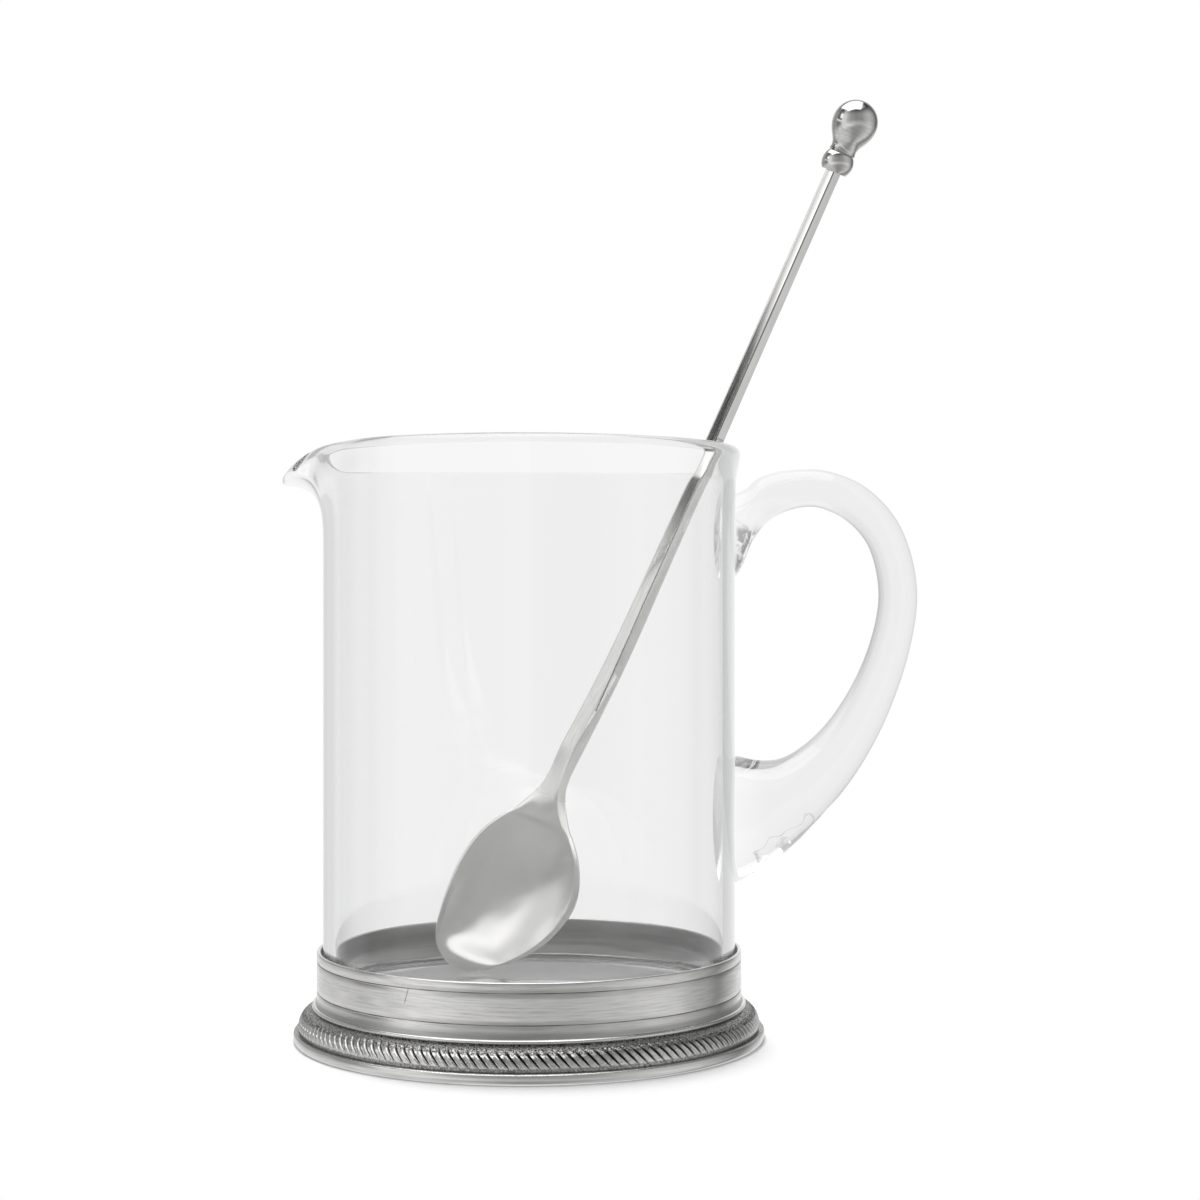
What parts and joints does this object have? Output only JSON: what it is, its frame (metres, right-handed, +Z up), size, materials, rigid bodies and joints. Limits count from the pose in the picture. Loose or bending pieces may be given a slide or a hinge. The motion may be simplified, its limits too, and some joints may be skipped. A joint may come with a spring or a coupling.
{
  "type": "cocktail pitcher",
  "caption": "Clear glass cocktail pitcher with applied handle, standing in a pewter base with a rope-moulded foot, and its lift-out pewter mixing spoon.",
  "frame": {"origin": "centre of the flat rest face under the foot, on the axis of the glass cylinder", "axes": "+Z up along the glass axis, +X towards the handle, -X towards the spout"},
  "size_m": [0.1612, 0.1188, 0.2308],
  "materials": {
    "clear_glass": "clear, fire polished",
    "brushed_pewter": "satin, brushed round the band",
    "cast_pewter": "polished on the high parts, dark and grainy in the recesses",
    "dull_pewter": "dull as cast",
    "clear_bedding": "clear, soft",
    "polished_pewter": "satin polish"
  },
  "bodies": {
    "pitcher": {"glass_vessel": "clear_glass", "glass_handle": "clear_glass", "base_band": "brushed_pewter", "foot_ring": "cast_pewter", "base_disc": "dull_pewter", "bedding_pad": "clear_bedding"},
    "spoon": {"spoon": "polished_pewter", "spoon_finial": "polished_pewter"}
  },
  "joints": [
    {"name": "spoon_lift", "type": "slide", "parent": "pitcher", "child": "spoon", "axis": [0, 0, 1], "range_m": [0, 0.14]}
  ]
}
